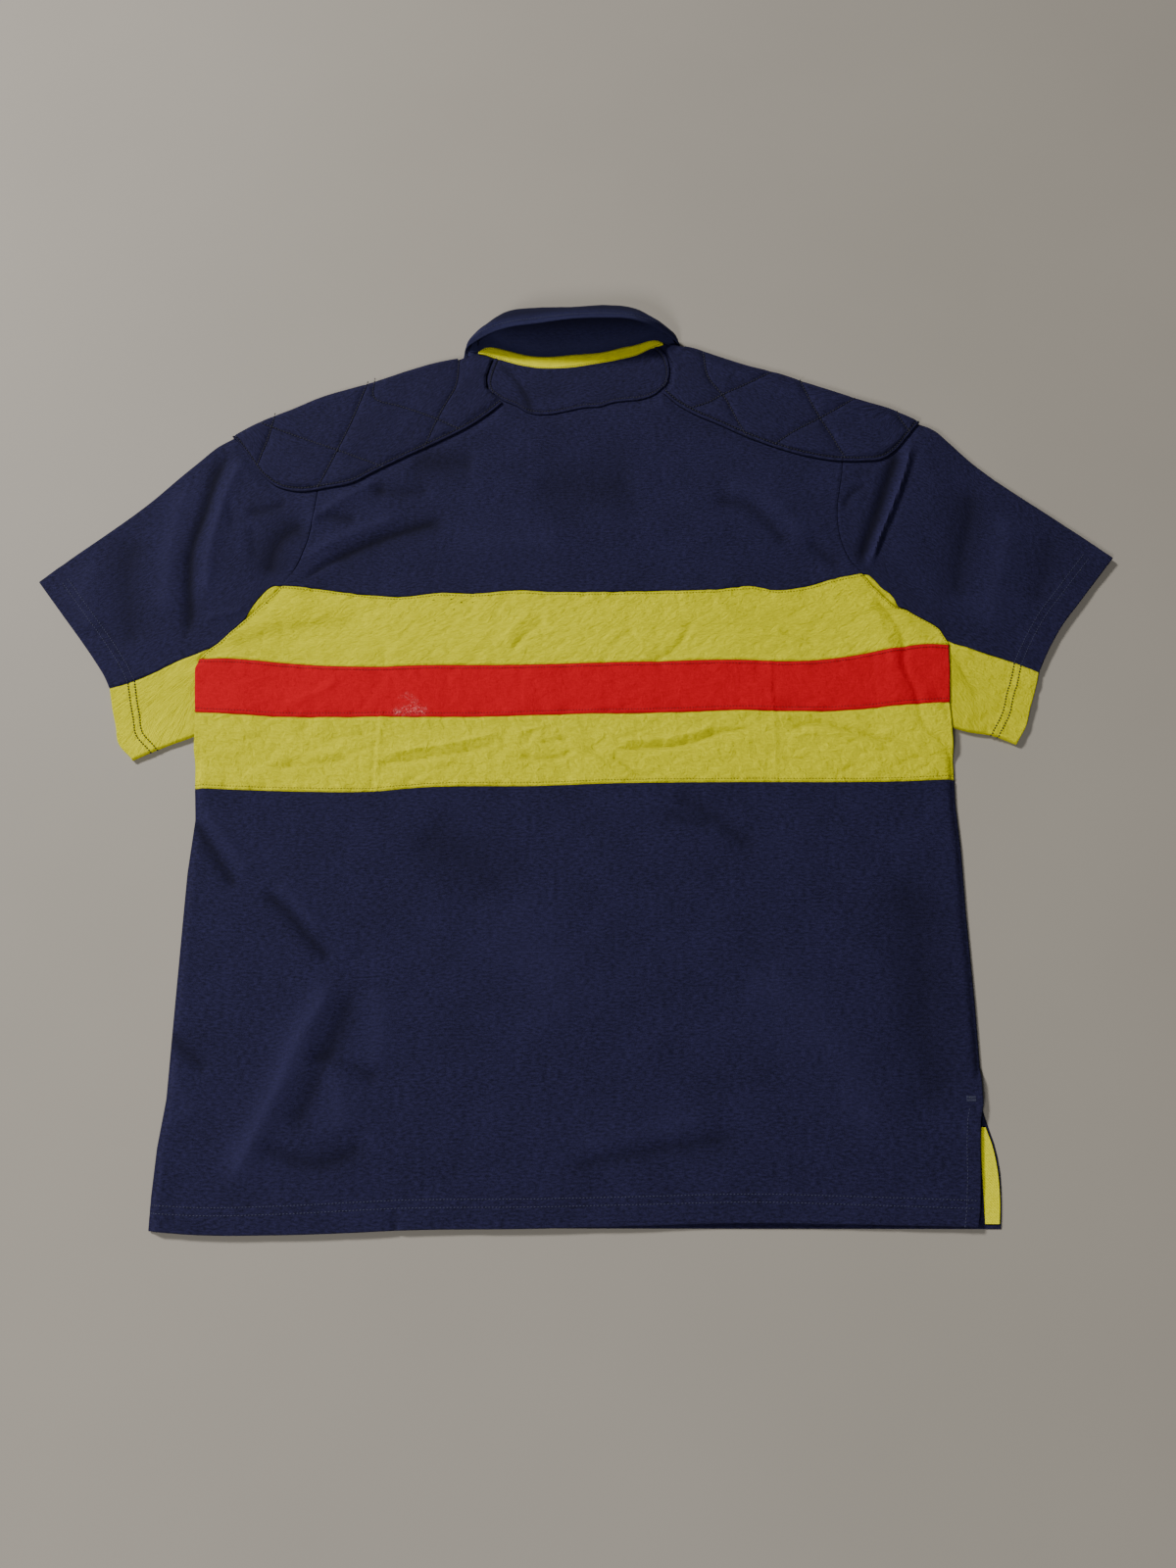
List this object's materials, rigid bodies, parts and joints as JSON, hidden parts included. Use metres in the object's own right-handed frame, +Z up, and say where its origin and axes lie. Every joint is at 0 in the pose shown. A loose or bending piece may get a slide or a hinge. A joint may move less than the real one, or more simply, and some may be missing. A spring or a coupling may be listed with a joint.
{
  "type": "polo shirt",
  "caption": "Navy short-sleeved polo shirt with yellow and red chest bands and quilted shoulder patches, laid flat face down with its collar standing",
  "frame": {"origin": "centre of the bounding box in plan, on the surface that the shirt lies on", "axes": "+X towards the sleeve on the right when the shirt is seen from above with its collar away from the viewer; +Y from the hem to the collar; +Z up from the surface, out of the shirt's back"},
  "size_m": [1.054, 0.8974, 0.0478],
  "materials": {
    "navy_jersey": "matte",
    "navy_twill": "matte",
    "yellow_twill": "matte",
    "red_twill": "matte",
    "button_resin": "satin"
  },
  "bodies": {
    "root": {"back_lower": "navy_jersey", "back_band_low": "yellow_twill", "back_band_middle": "red_twill", "back_band_high": "yellow_twill", "back_upper": "navy_jersey", "front_lower": "navy_jersey", "front_band_low": "yellow_twill", "front_band_middle": "red_twill", "front_band_high": "yellow_twill", "front_upper_left": "navy_jersey", "front_upper_right": "navy_jersey", "placket": "navy_jersey", "button_1": "button_resin", "button_2": "button_resin", "button_3": "button_resin", "sleeve_left": "navy_jersey", "sleeve_right": "navy_jersey", "sleeve_under_left": "yellow_twill", "sleeve_under_right": "yellow_twill", "shoulder_pad_left": "navy_jersey", "shoulder_pad_right": "navy_jersey", "neck_patch": "navy_jersey", "neck_tape": "yellow_twill", "collar_stand": "navy_twill", "collar_leaf": "navy_twill", "vent_tape": "yellow_twill"}
  },
  "joints": []
}
